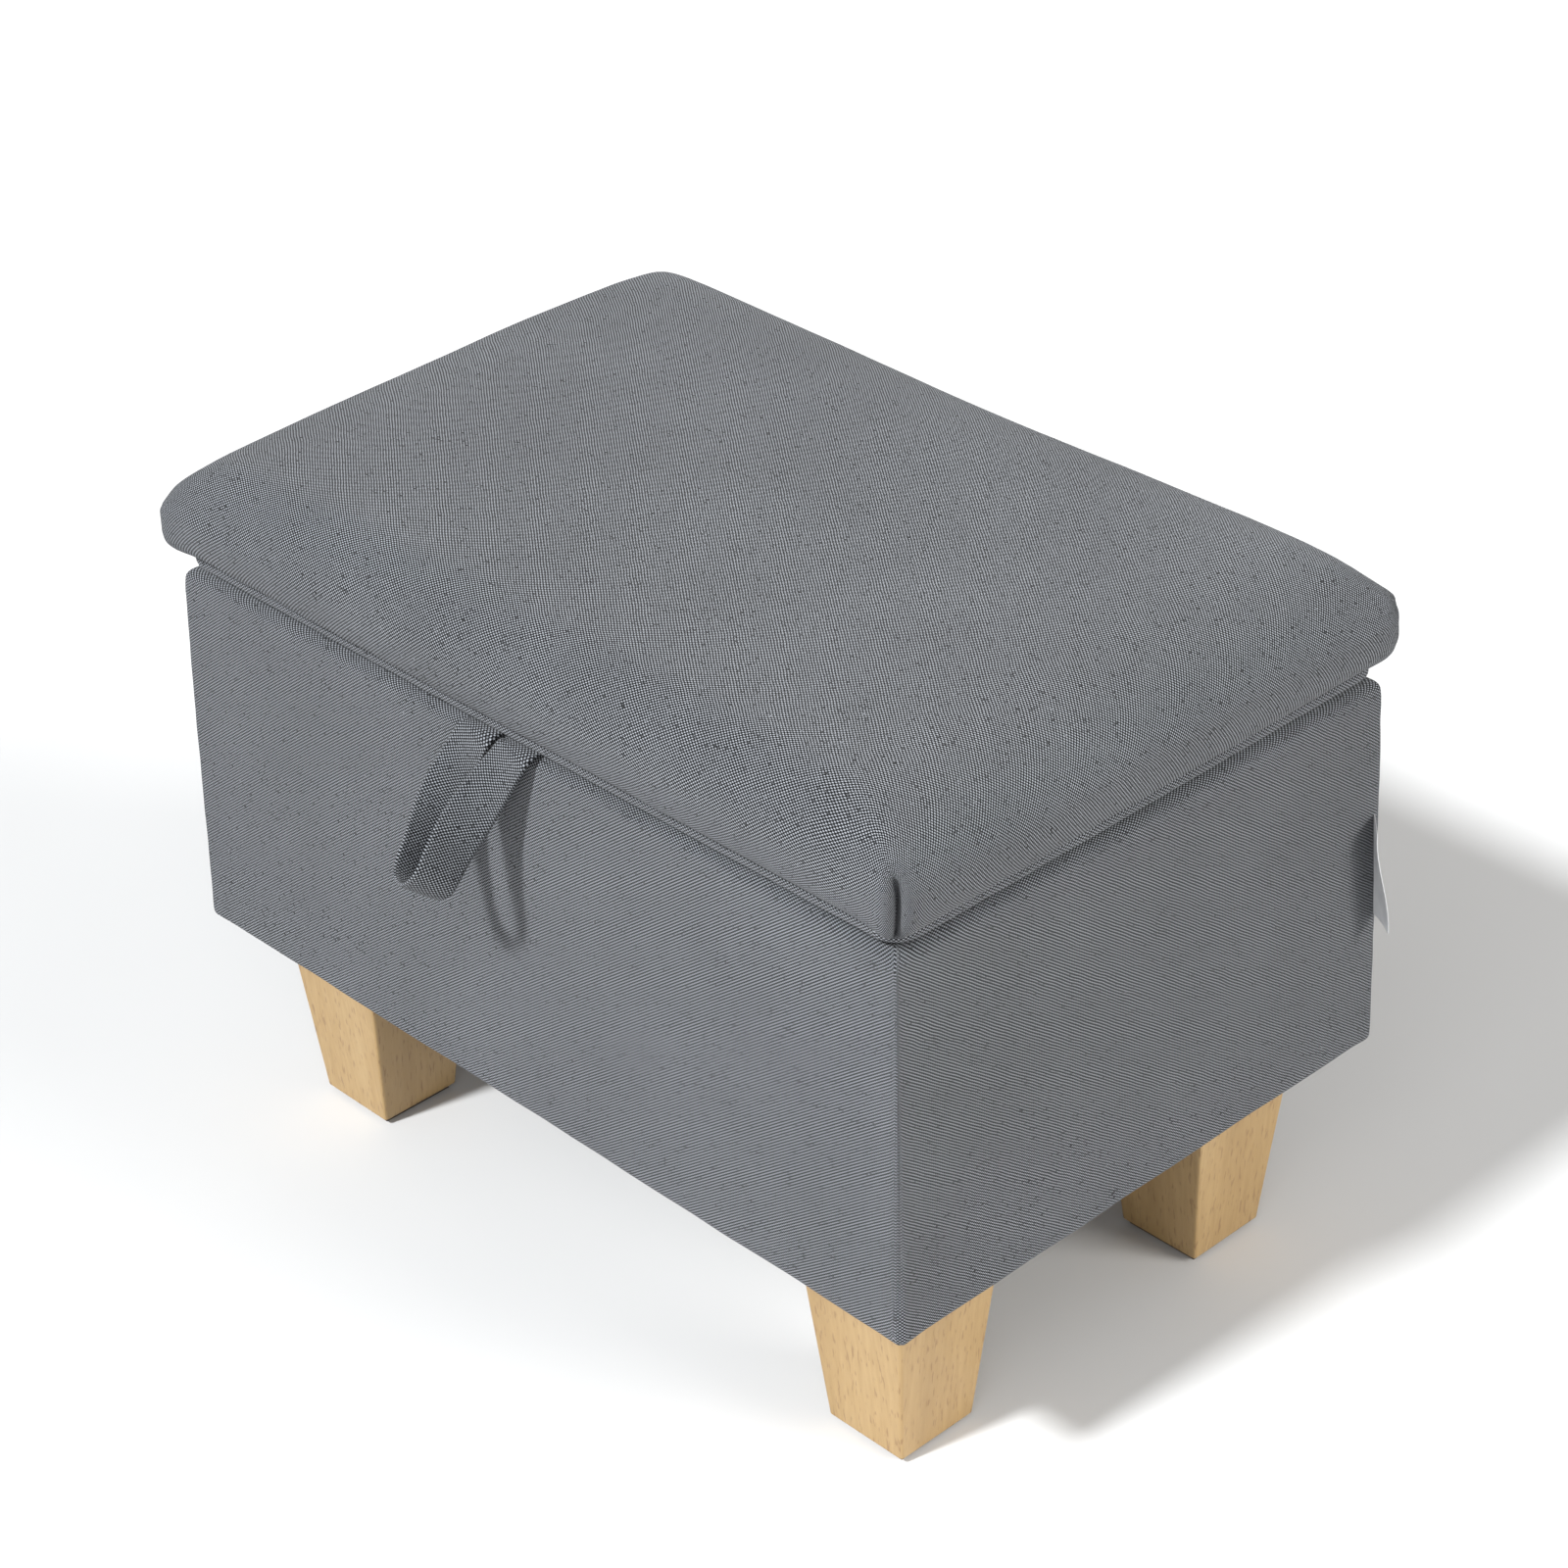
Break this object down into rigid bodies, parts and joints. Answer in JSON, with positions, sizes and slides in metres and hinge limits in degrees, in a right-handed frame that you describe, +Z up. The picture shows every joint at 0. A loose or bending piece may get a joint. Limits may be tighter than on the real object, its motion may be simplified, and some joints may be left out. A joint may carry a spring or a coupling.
{
  "type": "storage ottoman",
  "caption": "Upholstered footstool box on tapered wooden legs, with a hinged padded lid over a storage space and a fabric pull loop.",
  "frame": {"origin": "on the floor, under the centre of the overall box (26 mm in front of the middle of the box body)", "axes": "+X to the right along the long front, +Y from the front (pull loop) to the hinged back, +Z up"},
  "size_m": [0.5304, 0.4042, 0.4038],
  "materials": {
    "grey_fabric": "melange woven upholstery cloth, matt",
    "black_cloth": "non-woven lining cloth, matt",
    "plywood": "bare plywood",
    "beech": "beech, clear satin lacquer",
    "wadding": "polyester wadding",
    "foam": "open-cell foam",
    "zinc_steel": "zinc-plated steel",
    "felt": "pressed felt",
    "white_tag": "plain woven tape, no print"
  },
  "bodies": {
    "base": {"board_back": "plywood", "board_front": "plywood", "board_left": "plywood", "board_right": "plywood", "corner_block_back_left": "plywood", "corner_block_back_right": "plywood", "corner_block_front_left": "plywood", "corner_block_front_right": "plywood", "cover_back": "grey_fabric", "cover_front": "grey_fabric", "cover_left": "grey_fabric", "cover_right": "grey_fabric", "floor_batten_back": "plywood", "floor_batten_front": "plywood", "floor_panel": "plywood", "hinge_leaf_body_left": "zinc_steel", "hinge_leaf_body_right": "zinc_steel", "hinge_pin_left": "zinc_steel", "hinge_pin_right": "zinc_steel", "hinge_screw_body_left_1": "zinc_steel", "hinge_screw_body_left_2": "zinc_steel", "hinge_screw_body_right_1": "zinc_steel", "hinge_screw_body_right_2": "zinc_steel", "leg_back_left": "beech", "leg_back_right": "beech", "leg_bolt_back_left": "zinc_steel", "leg_bolt_back_right": "zinc_steel", "leg_bolt_front_left": "zinc_steel", "leg_bolt_front_right": "zinc_steel", "leg_front_left": "beech", "leg_front_right": "beech", "leg_pad_back_left": "felt", "leg_pad_back_right": "felt", "leg_pad_front_left": "felt", "leg_pad_front_right": "felt", "leg_tnut_back_left": "zinc_steel", "leg_tnut_back_right": "zinc_steel", "leg_tnut_front_left": "zinc_steel", "leg_tnut_front_right": "zinc_steel", "lining_floor": "black_cloth", "lining_walls": "black_cloth", "padding_back": "wadding", "padding_front": "wadding", "padding_left": "wadding", "padding_right": "wadding", "side_tag": "white_tag", "underside_cloth": "black_cloth"},
    "lid": {"hinge_leaf_lid_left": "zinc_steel", "hinge_leaf_lid_right": "zinc_steel", "hinge_screw_lid_left_1": "zinc_steel", "hinge_screw_lid_left_2": "zinc_steel", "hinge_screw_lid_right_1": "zinc_steel", "hinge_screw_lid_right_2": "zinc_steel", "lid_board": "plywood", "lid_cover": "grey_fabric", "lid_foam": "foam", "lid_lining": "black_cloth", "strap_tail": "grey_fabric"},
    "pull_strap": {"pull_strap": "grey_fabric"}
  },
  "joints": [
    {"name": "lid_hinge", "type": "hinge", "parent": "base", "child": "lid", "pos_m": [0, 0.1959, 0.3324], "axis": [-1, 0, 0], "range_deg": [0, 100]},
    {"name": "strap_swing", "type": "hinge", "parent": "lid", "child": "pull_strap", "pos_m": [-0.008, -0.1426, 0.3321], "axis": [-1, 0, 0], "range_deg": [-15, 50], "stiffness_Nm_per_rad": 0.05}
  ]
}
